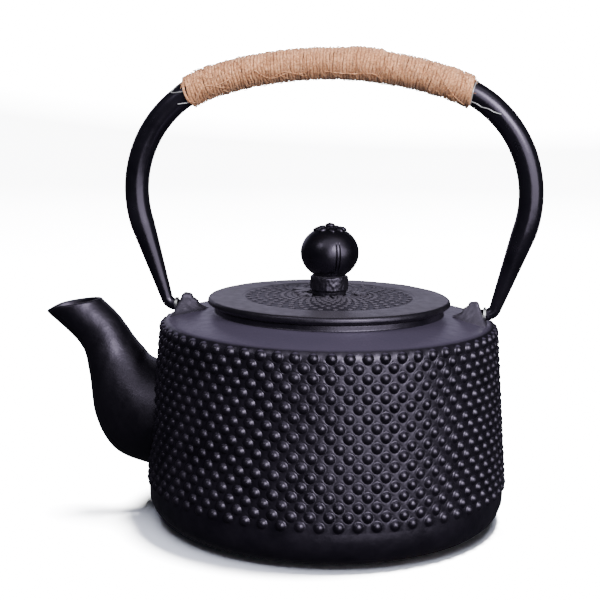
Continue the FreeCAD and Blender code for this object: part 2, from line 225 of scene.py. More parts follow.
def rounded(corners, steps=6):
    """Points through (radius, z, rounding) corners, with each rounding as a short arc."""
    points = []
    for i, (r, z, rounding) in enumerate(corners):
        here = Vector((r, z))
        if not rounding:
            points.append(here)
            continue
        before = (Vector(corners[i - 1][:2]) - here).normalized()
        after = (Vector(corners[(i + 1) % len(corners)][:2]) - here).normalized()
        half = before.angle(after) / 2
        setback = rounding / tan(half)
        centre = here + (before + after).normalized() * (rounding / sin(half))
        start = here + before * setback - centre
        end = here + after * setback - centre
        points.extend(
            centre + start.slerp(end, k / steps).normalized() * rounding for k in range(steps + 1)
        )
    return points


def spaced(points, step):
    """The same line of points, with more of them where they are further apart than step."""
    result = [points[0]]
    for start, end in zip(points, points[1:]):
        count = max(1, ceil((end - start).length / step))
        result.extend(start.lerp(end, k / count) for k in range(1, count + 1))
    return result


def polar(r, angle):
    return r * cos(angle), r * sin(angle)


def circle(r, z, columns, change=None, phase=0):
    """Ring of points about Z. change(angle, r, z) gives a new radius and height."""
    points = []
    for k in range(columns):
        angle = tau * k / columns + phase
        radius, height = change(angle, r, z) if change else (r, z)
        points.append((*polar(radius, angle), height))
    return points


def revolve(shape, points, columns, change=None):
    """Adds the closed surface that (radius, z) points sweep about Z."""
    loops = [circle(r, z, columns, change) for r, z in points if r > 1e-6]
    on_axis = points[0][0] < 1e-6
    rings = [shape.add(loop) for loop in loops]
    for ring, following in zip(rings, rings[1:]):
        shape.join(ring, following)
    if on_axis:
        shape.close(rings[0], (0, 0, points[0][1]))
        shape.close(rings[-1], (0, 0, points[-1][1]))
    else:
        shape.join(rings[-1], rings[0])


def smooth_rows(rows, steps):
    """Rows of numbers with steps - 1 more between each two, on a smooth curve through them."""
    result = []
    for i in range(len(rows) - 1):
        near = (rows[max(i - 1, 0)], rows[i], rows[i + 1], rows[min(i + 2, len(rows) - 1)])
        for k in range(steps):
            t = k / steps
            result.append([
                0.5 * (2 * b + (c - a) * t + (2 * a - 5 * b + 4 * c - d) * t ** 2
                       + (3 * b - a - 3 * c + d) * t ** 3)
                for a, b, c, d in zip(*near)
            ])
    result.append(list(rows[-1]))
    return result


def sweep(shape, centres, outline_at):
    """Adds a capped tube along centres. outline_at(i) gives (side, up) offsets for each ring."""
    normal = None
    loops = []
    for i, centre in enumerate(centres):
        ahead = centres[min(i + 1, len(centres) - 1)] - centres[max(i - 1, 0)]
        ahead.normalize()
        if normal is None:
            normal = ahead.orthogonal().normalized()
        normal = (normal - ahead * normal.dot(ahead)).normalized()
        side = ahead.cross(normal)
        loops.append([centre + side * a + normal * b for a, b in outline_at(i)])
    shape.skin(loops)


def round_outline(radius, sides):
    return [polar(radius, tau * k / sides) for k in range(sides)]


def wire(shape, points, radius, sides=8, steps=8):
    """Adds a thin round wire on a smooth curve through points."""
    centres = [Vector(row) for row in smooth_rows([tuple(point) for point in points], steps)]
    sweep(shape, centres, lambda i: round_outline(radius, sides))


def blob(shape, centre, axes, roughness, rings=8, sides=14):
    """Adds a closed rounded lump with three half-axis vectors and an uneven surface."""
    loops = []
    for i in range(1, rings):
        tilt = pi * i / rings
        loop = []
        for k in range(sides):
            turn = tau * k / sides
            way = (axes[0] * cos(turn) + axes[1] * sin(turn)) * sin(tilt)
            way += axes[2] * cos(tilt)
            wobble = 1 + roughness * noise.noise((centre + way) * 0.9)
            loop.append(centre + way * wobble)
        loops.append(loop)
    shape.skin(loops)


# ---- materials ----
class Surface:
    """A new material, with its node tree, its shader and its object coordinates."""

    def __init__(self, name, **constants):
        self.material = bpy.data.materials.new(name)
        self.material.use_nodes = True
        self.tree = self.material.node_tree
        self.shader = self.tree.nodes["Principled BSDF"]
        for socket, value in constants.items():
            self.shader.inputs[socket.replace("_", " ")].default_value = value
        self.coords = self.tree.nodes.new("ShaderNodeTexCoord").outputs["Object"]

    def feed(self, **values):
        """Links values to the shader's inputs."""
        for socket, value in values.items():
            self.tree.links.new(value, self.shader.inputs[socket.replace("_", " ")])

    def node(self, kind, inputs, **settings):
        """Adds a node. Inputs that are sockets are linked, and others are set."""
        added = self.tree.nodes.new(kind)
        for name, value in settings.items():
            setattr(added, name, value)
        for name, value in inputs.items():
            if isinstance(value, bpy.types.NodeSocket):
                self.tree.links.new(value, added.inputs[name])
            else:
                added.inputs[name].default_value = value
        return added

    def noise(self, scale, detail=3.0, roughness=0.55, coords=None):
        vector = self.coords if coords is None else coords
        inputs = {"Vector": vector, "Scale": scale, "Detail": detail, "Roughness": roughness}
        return self.node("ShaderNodeTexNoise", inputs).outputs["Fac"]

    def spread(self, value, low, high, to_low, to_high):
        """The value with its range from low to high turned into another range."""
        limits = {"From Min": low, "From Max": high, "To Min": to_low, "To Max": to_high}
        return self.node("ShaderNodeMapRange", {"Value": value, **limits}).outputs["Result"]

    def rising(self):
        """How far the surface faces up, from -1 to 1."""
        facing = self.node("ShaderNodeNewGeometry", {}).outputs["Normal"]
        return self.node("ShaderNodeSeparateXYZ", {"Vector": facing}).outputs["Z"]

    def ramp(self, value, *stops):
        """Colour from a value, by (position, (r, g, b)) stops."""
        made = self.node("ShaderNodeValToRGB", {"Fac": value})
        elements = made.color_ramp.elements
        while len(elements) < len(stops):
            elements.new(0.5)
        for element, (position, colour) in zip(elements, stops):
            element.position = position
            element.color = (*colour, 1)
        return made.outputs["Color"]

    def blend(self, factor, first, second, mode="MIX"):
        """Mixes two colours. The Mix node's colour inputs are its sixth and seventh."""
        inputs = {0: factor, 6: first, 7: second}
        return self.node("ShaderNodeMix", inputs, data_type="RGBA", blend_type=mode).outputs[2]

    def bump(self, height, distance, below=None):
        """Bump normal from a height in the range 0 to 1, over another bump if given."""
        inputs = {"Height": height, "Distance": distance * MM, "Strength": 1.0}
        if below is not None:
            inputs["Normal"] = below
        return self.node("ShaderNodeBump", inputs).outputs["Normal"]


IRON_TINT = (0.82, 0.72, 1.0, 1)
WHITE = (1.0, 1.0, 1.0)


def cast_iron(name, dark, light, dust_and_top_light_colour, flatness, roughness, grain):
    """Patinated cast iron: cloudy near-black, with sand grain and fine pits.

    It turns lighter where it faces up by more than flatness: partly a dusty bloom, partly painted
    light from above.
    """
    surface = Surface(name, Specular_IOR_Level=0.55, Specular_Tint=IRON_TINT)
    clouds = surface.ramp(surface.noise(90, 4), (0.32, dark), (0.68, light))
    # Lighter tone where the surface faces up: part dust, part painted light from above.
    dust_and_top_light = surface.spread(surface.rising(), flatness, 0.985, 0.0, 1.0)
    coarse = surface.bump(surface.noise(420, 4), grain)
    surface.feed(
        Base_Color=surface.blend(dust_and_top_light, clouds, (*dust_and_top_light_colour, 1)),
        Roughness=surface.spread(surface.noise(260, 4), 0.3, 0.7, *roughness),
        Normal=surface.bump(surface.noise(900, 3, 0.6), grain * 0.5, coarse),
    )
    return surface.material


def black_enamel():
    """Glossy black stove enamel on the bail, with slight waviness."""
    surface = Surface("black_enamel", Specular_Tint=IRON_TINT)
    dark, light = (0.002, 0.0018, 0.003), (0.005, 0.0045, 0.007)
    surface.feed(
        Base_Color=surface.ramp(surface.noise(60), (0.3, dark), (0.7, light)),
        Roughness=surface.spread(surface.noise(300, 4), 0.3, 0.7, 0.2, 0.28),
        Normal=surface.bump(surface.noise(180, 2), 0.08),
    )
    return surface.material


def jute():
    """Dry jute: pale and brown fibres, with painted shade underneath, a soft sheen and a hairy
    bump.
    """
    surface = Surface("jute", Sheen_Weight=0.25, Sheen_Roughness=0.5)
    fibres = surface.noise(1500, 4, 0.7)
    brown, tan_brown, pale = (0.18, 0.065, 0.026), (0.68, 0.3, 0.14), (1.0, 0.6, 0.36)
    tone = surface.ramp(fibres, (0.3, brown), (0.48, tan_brown), (0.66, pale))
    patches = surface.ramp(surface.noise(140), (0.3, (0.76, 0.7, 0.64)), (0.7, WHITE))
    # Darker where the twine faces down: painted shade underneath.
    upward = surface.spread(surface.rising(), -1, 1, 0, 1)
    painted_underside_shade = surface.ramp(upward, (0.15, (0.5, 0.46, 0.42)), (0.6, WHITE))
    for shade in (patches, painted_underside_shade):
        tone = surface.blend(1.0, tone, shade, "MULTIPLY")
    roughness = surface.spread(fibres, 0.3, 0.7, 0.75, 0.95)
    surface.feed(Base_Color=tone, Roughness=roughness, Normal=surface.bump(fibres, 0.3))
    return surface.material


def steel(name, dark, light, roughness, grain, metallic=1.0):
    """Satin steel sheet or wire, with drawn streaks along Z and small smudges."""
    surface = Surface(name, Metallic=metallic)
    inputs = {"Vector": surface.coords, "Scale": (1.0, 1.0, 0.12)}
    streaks = surface.noise(1400, coords=surface.node("ShaderNodeMapping", inputs).outputs[0])
    surface.feed(
        Base_Color=surface.ramp(streaks, (0.3, dark), (0.7, light)),
        Roughness=surface.spread(surface.noise(120), 0.3, 0.7, *roughness),
        Normal=surface.bump(streaks, grain),
    )
    return surface.material


POT_IRON = cast_iron("pot_iron", (0.002, 0.0017, 0.003), (0.006, 0.005, 0.008),
                     (0.048, 0.04, 0.066), 0.72, (0.28, 0.4), 0.08)
SPOUT_IRON = cast_iron("spout_iron", (0.0012, 0.001, 0.0018), (0.003, 0.0026, 0.004),
                       (0.02, 0.018, 0.024), 0.9, (0.34, 0.46), 0.12)
LID_IRON = cast_iron("lid_iron", (0.002, 0.0017, 0.003), (0.005, 0.0045, 0.006),
                     (0.046, 0.041, 0.054), 0.88, (0.34, 0.46), 0.08)
# Darker copy of the lid's iron for the sunk floor between the studs: painted shade.
LID_FLOOR_PAINTED_SHADE_IRON = cast_iron("lid_floor_painted_shade_iron", (0.002, 0.0017, 0.003), (0.005, 0.0045, 0.006),
                           (0.014, 0.0125, 0.018), 0.88, (0.4, 0.52), 0.08)
# Lighter copy of the lid's iron for the studs: painted light.
LID_STUD_PAINTED_LIGHT_IRON = cast_iron("lid_stud_painted_light_iron", (0.004, 0.0035, 0.006), (0.01, 0.009, 0.012),
                          (0.075, 0.067, 0.087), 0.6, (0.3, 0.42), 0.08)
KNOB_IRON = cast_iron("knob_iron", (0.001, 0.0009, 0.0015), (0.002, 0.0018, 0.003),
                      (0.006, 0.005, 0.008), 0.95, (0.26, 0.36), 0.04)
LUG_IRON = cast_iron("lug_iron", (0.004, 0.0035, 0.006), (0.018, 0.016, 0.023),
                     (0.05, 0.045, 0.06), 0.8, (0.42, 0.56), 0.15)
# Lighter copy of the lug iron for the rear lug: painted light.
REAR_LUG_PAINTED_LIGHT_IRON = cast_iron("rear_lug_painted_light_iron", (0.012, 0.0105, 0.016), (0.045, 0.04, 0.056),
                          (0.07, 0.062, 0.082), 0.8, (0.42, 0.56), 0.15)
ENAMEL = black_enamel()
JUTE = jute()
WIRE_STEEL = steel("wire_steel", (0.35, 0.35, 0.37), (0.55, 0.55, 0.57), (0.3, 0.45), 0.02, 0.6)
STRAINER_STEEL = steel("strainer_steel", (0.5, 0.5, 0.52), (0.66, 0.66, 0.68), (0.25, 0.4), 0.03)


# ---- pot body ----
def pot_profile():
    """The pot's outline from the middle of its base, up, over the rim and down its inside."""
    inside_top_z = WALL_TOP_Z - WALL
    inside_top_r = WALL_FOOT_R - WALL - LEAN * (inside_top_z - WALL_FOOT_Z)
    inside_foot_r = WALL_FOOT_R - WALL + LEAN * (WALL_FOOT_Z - BASE_THICKNESS)
    return rounded((
        (0, 0, 0),
        (BASE_R, 0, BASE_CORNER_R),
        (WALL_TOP_R, WALL_TOP_Z, SHOULDER_CORNER_R),
        (MOUTH_RING_R, SHOULDER_INNER_Z, 0.8),
        (MOUTH_RING_R, MOUTH_TOP_Z, 0.6),
        (LEDGE_R, MOUTH_TOP_Z, 0.3),
        (LEDGE_R, LEDGE_Z, 0),
        (MOUTH_R, LEDGE_Z, 0.3),
        (MOUTH_R, MOUTH_LOWER_Z, 0.8),
        (inside_top_r, inside_top_z, 3.0),
        (inside_foot_r, BASE_THICKNESS, INSIDE_CORNER_R),
        (0, BASE_THICKNESS, 0),
    ))


class Line:
    """A line of (radius, z) points that can be read at any length along it."""

    def __init__(self, points):
        self.points = points
        self.lengths = [0.0]
        for start, end in zip(points, points[1:]):
            self.lengths.append(self.lengths[-1] + (end - start).length)

    def at(self, length):
        """The point at a length, and the outward direction there."""
        i = min(max(bisect.bisect_right(self.lengths, length) - 1, 0), len(self.points) - 2)
        start, end = self.points[i], self.points[i + 1]
        along = end - start
        share = (length - self.lengths[i]) / along.length
        along.normalize()
        return start.lerp(end, share), Vector((along.y, -along.x))

    def length_at_height(self, z):
        """The length at which the line first rises through a height."""
        for i, (start, end) in enumerate(zip(self.points, self.points[1:])):
            if start.y < z <= end.y:
                return self.lengths[i] + (end - start).length * (z - start.y) / (end.y - start.y)
        raise ValueError(z)


def cell_outline(upper_edge=None, lower_edge=None):
    """The 12 points round a diamond cell, in twelfths of a pitch and thirds of a row, upwards.

    An edge distance squares off the cell at that end.
    """
    upper = [(6, 0), (4, 1), (2, 2), (0, 3), (-2, 2), (-4, 1)]
    lower = [(-6, 0), (-4, -1), (-2, -2), (0, -3), (2, -2), (4, -1)]
    if upper_edge:
        upper = [(6, 0)] + [(step, upper_edge) for step in (6, 3, 0, -3, -6)]
    if lower_edge:
        lower = [(-6, 0)] + [(step, -lower_edge) for step in (-6, -3, 0, 3, 6)]
    return upper + lower


class SharedCorners:
    """Vertices that neighbouring cells share. place(step, rise) gives a vertex's point."""

    def __init__(self, shape, per_row, place):
        self.shape, self.place = shape, place
        self.steps_round = CELL_STEPS * per_row
        self.made = {}

    def at(self, step, rise):
        key = (step % self.steps_round, round(rise, 3))
        if key not in self.made:
            self.made[key] = self.shape.add([self.place(step, rise)])[0]
        return self.made[key]


def cells(rows, per_row, edge):
    """Yields each cell's row, its middle step and its boundary, in staggered rows downwards."""
    for row in range(rows):
        boundary = cell_outline(edge if row == 0 else None, edge if row == rows - 1 else None)
        for k in range(per_row):
            step = CELL_STEPS * k + CELL_STEPS // 2 * (row % 2)
            yield row, step, [(step + a, b - 3 * row) for a, b in boundary]


def nail_height(distance):
    """Height of a nail's rounded surface at a distance from its middle."""
    cap_r = (NAIL_R ** 2 + NAIL_HEIGHT ** 2) / (2 * NAIL_HEIGHT)
    if distance >= NAIL_R:
        return 0.0 if distance > NAIL_R + 0.1 else 0.1
    return sqrt(cap_r ** 2 - distance ** 2) - cap_r + NAIL_HEIGHT


def nail_band(shape, line):
    """Adds the studded wall, one diamond cell per nail, and returns its lower and upper edges."""
    chance = random.Random(4)
    first_length = line.length_at_height(FIRST_ROW_Z)

    def place(angle, length, height):
        point, outward = line.at(length)
        return Vector((*polar(point.x + outward.x * height, angle), point.y + outward.y * height))

    def angle_at(step):
        return tau * step / (CELL_STEPS * NAILS_PER_ROW) + NAIL_PHASE

    def net_point(step, rise):
        at_edge = abs(rise % 1) > 1e-6
        length = first_length + rise * ROW_SPACING / 3
        return place(angle_at(step), length, 0 if at_edge else NET_HEIGHT)

    net = SharedCorners(shape, NAILS_PER_ROW, net_point)
    edge = BAND_EDGE * 3 / ROW_SPACING
    for row, step, boundary in cells(NAIL_ROWS, NAILS_PER_ROW, edge):
        middle = first_length - row * ROW_SPACING + chance.uniform(-NAIL_DRIFT, NAIL_DRIFT)
        r = line.at(middle)[0].x
        angle = angle_at(step) + chance.uniform(-NAIL_DRIFT, NAIL_DRIFT) / r
        size = chance.uniform(*NAIL_SIZES)
        tall = chance.uniform(*NAIL_RISES)
        outer = [net.at(*corner) for corner in boundary]
        for distance in reversed(NAIL_RINGS):
            ring = []
            for across, along in round_outline(distance * size, CELL_STEPS):
                ring.append(place(angle + across / r, middle + along, nail_height(distance) * tall))
            ring = shape.add(ring)
            shape.join(outer, ring)
            outer = ring
        shape.close(outer, place(angle, middle, NAIL_HEIGHT * tall))
    lowest = -3 * (NAIL_ROWS - 1) - edge
    return [[net.at(3 * k, rise) for k in range(COLUMNS)] for rise in (lowest, edge)]


def make_pot_body():
    line = Line(pot_profile())
    shape = Shape()
    lower, upper = nail_band(shape, line)
    start = line.length_at_height(FIRST_ROW_Z) - (NAIL_ROWS - 1) * ROW_SPACING - BAND_EDGE
    end = line.length_at_height(FIRST_ROW_Z) + BAND_EDGE
    below = [p for p, length in zip(line.points, line.lengths) if length < start - 0.4]
    above = [p for p, length in zip(line.points, line.lengths) if length > end + 0.2]
    for points, edge, middle_z in (
        (spaced(above, 6)[:-1], upper, BASE_THICKNESS),
        (spaced(below, 6)[:0:-1], lower, 0),
    ):
        for point in points:
            ring = shape.add(circle(point.x, point.y, COLUMNS, phase=NAIL_PHASE))
            shape.join(edge, ring)
            edge = ring
        shape.close(edge, (0, 0, middle_z))
    pot = make_object("pot_casting", shape, POT_IRON)
    cut(pot, [make_channel_cutter()])
    finish_piece(pot, "pot", "cast_iron", "pot_body")


# ---- spout ----
def spout_ring(row, inset, push=0.0, beak=0.0):
    """Ellipse of points in a section of the spout, shrunk by inset and pushed outwards.

    With a beak, the ring is also raised towards its lower end, except at the very tip.
    """
    upper, lower, half_width = Vector((row[0], 0, row[1])), Vector((row[2], 0, row[3])), row[4]
    centre, up = (upper + lower) / 2, (upper - lower) / 2
    out = Vector((-up.z, 0, up.x)).normalized()
    tall = up.length - inset
    up.normalize()
    points = []
    for k in range(SPOUT_SIDES):
        turn = tau * k / SPOUT_SIDES
        share = (1 - cos(turn)) / 2
        raised = push + beak * share * (1 - share ** 8)
        points.append(centre + out * raised + up * tall * cos(turn)
                      + Y * (half_width - inset) * sin(turn))
    return points


def make_channel_cutter():
    """The way through the wall from the pot into the spout, as a closed solid."""
    rows = smooth_rows(SPOUT_SECTIONS, 4)[:CHANNEL_RINGS]
    shape = Shape()
    shape.skin([spout_ring(row, row[5] - CHANNEL_GAP) for row in rows])
    return make_object("channel_cutter", shape, POT_IRON)


def make_envelope_cutter():
    """The pot's outside, a little shrunk, for trimming what is joined to it."""
    top_z = SHOULDER_INNER_Z - ENVELOPE_INSET
    corners = (
        (0, 0.3, 0),
        (BASE_R - ENVELOPE_INSET, 0.3, BASE_CORNER_R),
        (WALL_TOP_R - ENVELOPE_INSET, WALL_TOP_Z - ENVELOPE_INSET, SHOULDER_CORNER_R),
        (MOUTH_RING_R, top_z, 0),
        (0, top_z, 0),
    )
    shape = Shape()
    revolve(shape, rounded(corners), COLUMNS)
    return make_object("envelope_cutter", shape, POT_IRON)


def make_spout():
    rows = smooth_rows(SPOUT_SECTIONS, 7)
    lip = rows[-1]
    wall = lip[5]
    outside = [spout_ring(row, 0) for row in rows[:-1]]
    rim = [
        spout_ring(lip, wall / 2 * (1 - cos(turn)), wall / 2 * sin(turn), LIP_BEAK)
        for turn in (pi * k / 6 for k in range(7))
    ]
    inside = [spout_ring(row, row[5]) for row in reversed(rows[:-1])]
    shape = Shape()
    shape.skin(outside + rim + inside, closed=True)
    for k, point in enumerate(shape.vertices):
        place = point * 0.3
        unevenness = Vector([noise.noise(place + X * shift) for shift in (0, 31, 57)])
        shape.vertices[k] = point + unevenness * SPOUT_UNEVENNESS
    spout = make_object("spout_casting", shape, SPOUT_IRON)
    cut(spout, [make_envelope_cutter()])
    return finish_piece(spout, "pot", "cast_iron", "spout")


# ---- lugs ----
def lug_ring(share, inset, z):
    """Rounded section of a lug as a ring of points, from its foot at share 0 to its top at 1."""
    (inner_x, inner_half), (outer_x, outer_half) = (
        [a + (b - a) * share for a, b in zip(foot, top)] for foot, top in zip(LUG_FOOT, LUG_TOP)
    )
    rounding = 0.35 + 0.75 * share
    outline = rounded((
        (inner_x, -inner_half, rounding),
        (outer_x, -outer_half, rounding),
        (outer_x, outer_half, rounding),
        (inner_x, inner_half, rounding),
    ), 4)
    outline = spaced(outline + outline[:1], 0.9)[:-1]
    centre = sum(outline, Vector((0, 0))) / len(outline)
    return [Vector((*(p + (centre - p).normalized() * inset), z)) for p in outline]


def resampled(points, count):
    """The same closed ring with an even number of points along it."""
    line = Line([Vector((p.x, p.y)) for p in points + points[:1]])
    total = line.lengths[-1]
    return [Vector((*line.at(total * k / count)[0], points[0].z)) for k in range(count)]


def weathered_lug(point, side):
    """A lug's point moved outwards by its fillet at the shoulder, its streaks and its grain."""
    away = Vector((point.x - LUG_TOP[0][0], point.y * 2, 0)).normalized()
    shoulder_z = SHOULDER_INNER_Z - SHOULDER_SLOPE * (hypot(point.x, point.y) - MOUTH_RING_R)
    fillet = LUG_FILLET * exp(-max(0.0, point.z - shoulder_z) / LUG_FILLET_HEIGHT)
    streaks = noise.noise(Vector((point.x * 0.6 + side, point.y * 0.8 + 7, point.z * 0.25 + 3)))
    grain = noise.noise(point * 1.4 + Vector((3 * side, 0, 0)))
    near_pin = max(0.0, 1 - hypot(point.y, point.z - PIVOT_Z) / SPOT_FADE_R)
    return point + away * (fillet + 0.25 * streaks + 0.12 * grain) * (1 - near_pin)


def make_lug(name, side, node_name, material):
    loops = []
    height = LUG_TOP_Z - LUG_ROUNDING - LUG_FOOT_Z
    for i in range(LUG_LEVELS + 1):
        loops.append(lug_ring(i / LUG_LEVELS, 0, LUG_FOOT_Z + height * i / LUG_LEVELS))
    for turn in (radians(18 * k) for k in range(1, 6)):
        inset, drop = LUG_ROUNDING * (1 - cos(turn)), LUG_ROUNDING * (1 - sin(turn))
        loops.append(lug_ring(1, inset, LUG_TOP_Z - drop))
    shape = Shape()
    shape.skin([resampled(loop, LUG_RING_POINTS) for loop in loops])
    shape.vertices = [weathered_lug(point, side) for point in shape.vertices]
    for point in shape.vertices:
        point.x *= side
    cutters = []
    for cutter_name, start_x, end_x, radius in (
        ("bore_cutter", 40, 70, PIN_R + PIN_CLEARANCE),
        ("face_cutter", SPOT_FACE_X, 75, SPOT_FACE_R),
    ):
        rod = Shape()
        ends = [Vector((side * x, 0, PIVOT_Z)) for x in (start_x, end_x)]
        sweep(rod, ends, lambda i, radius=radius: round_outline(radius, 32))
        cutters.append(make_object(cutter_name, rod, LUG_IRON))
    lug = make_object(name, shape, material)
    cut(lug, cutters)
    finish_piece(lug, "pot", "cast_iron", node_name)


# ---- lid ----
def lid_top_z(r):
    slope = (LID_CENTRE_Z - LID_RIM_Z) / (LID_R - 0.4 - LID_CENTRE_R)
    return LID_CENTRE_Z - slope * max(0.0, r - LID_CENTRE_R)


def lid_dots(angle, r):
    """Height of the ringed studs on the lid, which stand in a shallow sunk ring."""
    ring = min(range(len(LID_DOT_RINGS)), key=lambda i: abs(LID_DOT_RINGS[i] - r))
    ring_r = LID_DOT_RINGS[ring]
    pitch = tau / LID_DOTS_PER_RING
    turn = angle / pitch - 0.5 * (ring % 2)
    across = (turn - round(turn)) * pitch * ring_r
    share = hypot(across, r - ring_r) / min(LID_DOT_R, LID_DOT_CROWDING * ring_r)
    if share < LID_DOT_TOP:
        return LID_DOT_HEIGHT * (1 - share ** 2)
    return -LID_FLOOR_DEPTH * min(1.0, (share - LID_DOT_TOP) / LID_DOT_FLANK)


def lid_leaves(x, y):
    """Height of the cast leaves round the knob's foot, or nothing where there is none."""
    for centre_x, centre_y, heading, reach, lobes in LID_LEAVES:
        turn = atan2(y - centre_y, x - centre_x) - radians(heading)
        away = hypot(x - centre_x, y - centre_y)
        lobe = 0.42 + 0.58 * abs(cos(lobes * turn / 2)) ** 1.5
        edge = reach * lobe * (0.8 + 0.2 * cos(turn))
        if away < edge + 0.6:
            vein = max(0.0, 1 - away * abs(sin(lobes * turn / 2)) / 0.6)
            return min(1.0, max(0.0, (edge - away) / 0.5)) * (0.9 - 0.35 * vein)
    return None


def make_lid():
    under_z = LID_CENTRE_Z - LID_THICKNESS
    dots_end = Vector((DOTS_END_R, lid_top_z(DOTS_END_R)))
    top = spaced([Vector((LID_CENTRE_R, LID_CENTRE_Z)), dots_end], 0.3)
    corners = (
        (*dots_end, 0),
        (LID_R - 0.1, LID_RIM_Z, 1.4),
        (LID_R, MOUTH_TOP_Z + 1.5, 0.4),
        (LID_R - 2.0, MOUTH_TOP_Z, 0.5),
        (FLANGE_R, MOUTH_TOP_Z, 0),
        (FLANGE_R, FLANGE_Z, 0.5),
        (FLANGE_R - FLANGE_WALL, FLANGE_Z, 0.5),
        (FLANGE_R - FLANGE_WALL, MOUTH_TOP_Z, 1.0),
        (LID_CENTRE_R, under_z, 0),
        (STEM_HOLE_R, under_z, 0),
        (STEM_HOLE_R, LID_CENTRE_Z, 0),
    )

    def relief(angle, r, z):
        point = Vector((*polar(r, angle), z))
        if z > LID_RIM_Z and LID_CENTRE_R < r < DOTS_END_R:
            leaves = lid_leaves(point.x, point.y)
            edge = min(1.0, (DOTS_END_R - r) / 0.8)
            return r, z + (edge * lid_dots(angle, r) if leaves is None else leaves)
        return r + 0.12 * noise.noise(point * 0.12), z + 0.1 * noise.noise(point * 0.15)

    shape = Shape()
    outline = top + spaced(rounded(corners), 3)[1:]
    revolve(shape, outline, 12 * LID_DOTS_PER_RING, relief)
    lid = make_object("lid_casting", shape, LID_IRON)
    # Sunk floor faces take the darker copy, painted shade, and the stud faces the lighter one,
    # painted light.
    for material in (LID_FLOOR_PAINTED_SHADE_IRON, LID_STUD_PAINTED_LIGHT_IRON):
        lid.data.materials.append(material)
    for face in lid.data.polygons:
        x, y, z = face.center / MM
        r = hypot(x, y)
        if LID_CENTRE_R < r < LID_DOT_RINGS[0] + 1.3 and z > lid_top_z(r) - 0.6:
            face.material_index = 1 if z < lid_top_z(r) - 0.15 else 2
    finish_piece(lid, "lid", "cast_iron", "lid")


# ---- knob ----
def knob_surface(angle, r, z):
    """Radius and height of the ball at an angle, with its pairs of cut grooves."""
    fade = min(1.0, (z - BALL_Z + 7.5) / 2, (BALL_Z + 4.8 - z) / 1.2)
    if fade < 0 or r < KNOB_FOOT_R:
        return r, z
    for middle in KNOB_GROOVE_ANGLES:
        for offset in (-KNOB_GROOVE_APART, KNOB_GROOVE_APART):
            apart = degrees(angle) - middle - offset
            apart = abs((apart + 180) % 360 - 180)
            if apart < KNOB_GROOVE_HALF_WIDTH:
                r -= KNOB_GROOVE_DEPTH * fade * (1 - (apart / KNOB_GROOVE_HALF_WIDTH) ** 2)
    return r, z


def make_knob():
    turn = acos(KNOB_FOOT_R / BALL_R)
    foot_z = BALL_Z - BALL_HALF_HEIGHT * sin(turn)
    ball = [
        Vector((BALL_R * cos(t), BALL_Z + BALL_HALF_HEIGHT * sin(t)))
        for t in (-turn + (pi / 2 + turn) * k / 40 for k in range(1, 40))
    ]
    profile = [Vector((0, STEM_END_Z)), Vector((STEM_R, STEM_END_Z)), Vector((STEM_R, KNOB_FOOT_Z)),
               Vector((KNOB_FOOT_R, KNOB_FOOT_Z)), Vector((KNOB_FOOT_R, foot_z))]
    shape = Shape()
    revolve(shape, profile + ball + [Vector((0, BALL_Z + BALL_HALF_HEIGHT))], 720, knob_surface)
    for k in range(CROWN_PETALS):
        out = Vector((*polar(1, tau * (k + 0.3) / CROWN_PETALS), 0))
        axes = (out * 2.1 - Z * 0.55, Z.cross(out) * 1.7, Z * 1.1)
        blob(shape, Z * CROWN_Z + out * CROWN_R, axes, 0.25)
    blob(shape, Z * FINIAL_Z, (X * 2.1, Y * 2.1, Z * 1.35), 0.15)
    add_piece("knob_casting", shape, KNOB_IRON, "lid", "cast_iron", "knob")


def make_knob_collar():
    height = KNOB_FOOT_Z - LID_CENTRE_Z
    corners = (
        (STEM_HOLE_R, LID_CENTRE_Z, 0),
        (KNOB_COLLAR_R - 0.9, LID_CENTRE_Z, 0),
        (KNOB_COLLAR_R - 0.7, LID_CENTRE_Z + 0.22 * height, 0.4),
        (KNOB_COLLAR_R, LID_CENTRE_Z + 0.3 * height, 0.5),
        (KNOB_COLLAR_R, KNOB_FOOT_Z - 0.4, 0.7),
        (KNOB_FOOT_R - 0.3, KNOB_FOOT_Z, 0),
        (STEM_HOLE_R, KNOB_FOOT_Z, 0),
    )

    def leafy(angle, r, z):
        if r < KNOB_COLLAR_R - 1.2:
            return r, z
        point = Vector((*polar(r, angle), z))
        return r + 0.35 * noise.noise(point * 0.8) - 0.1, z

    shape = Shape()
    revolve(shape, spaced(rounded(corners), 0.45), 160, leafy)
    add_piece("knob_collar_casting", shape, LID_IRON, "lid", "cast_iron", "knob_collar")


# ---- bail ----
ARC_TURN, LEAN_TURN = radians(TOP_ARC_START), radians(LEG_LEAN)
TOP_ARC_R = SIDE_ARC_X / sin(ARC_TURN) + SIDE_ARC_R
TOP_ARC_Z = SIDE_ARC_Z + (SIDE_ARC_R - TOP_ARC_R) * cos(ARC_TURN)
TOP_ARC_LENGTH = TOP_ARC_R * ARC_TURN
LEG_START = TOP_ARC_LENGTH + SIDE_ARC_R * (pi / 2 - ARC_TURN + LEAN_TURN)


def side_point(angle):
    across, up = polar(SIDE_ARC_R, angle)
    return Vector((SIDE_ARC_X + across, 0, SIDE_ARC_Z + up))


HOOK_TURN = pi / 2 - LEAN_TURN
LEG_LENGTH = (side_point(-LEAN_TURN).z - PIVOT_Z) / cos(LEAN_TURN)
LEG_LENGTH -= HOOK_BEND_R * tan(HOOK_TURN / 2)
HOOK_START = LEG_START + LEG_LENGTH
PIN_START = HOOK_START + HOOK_BEND_R * HOOK_TURN


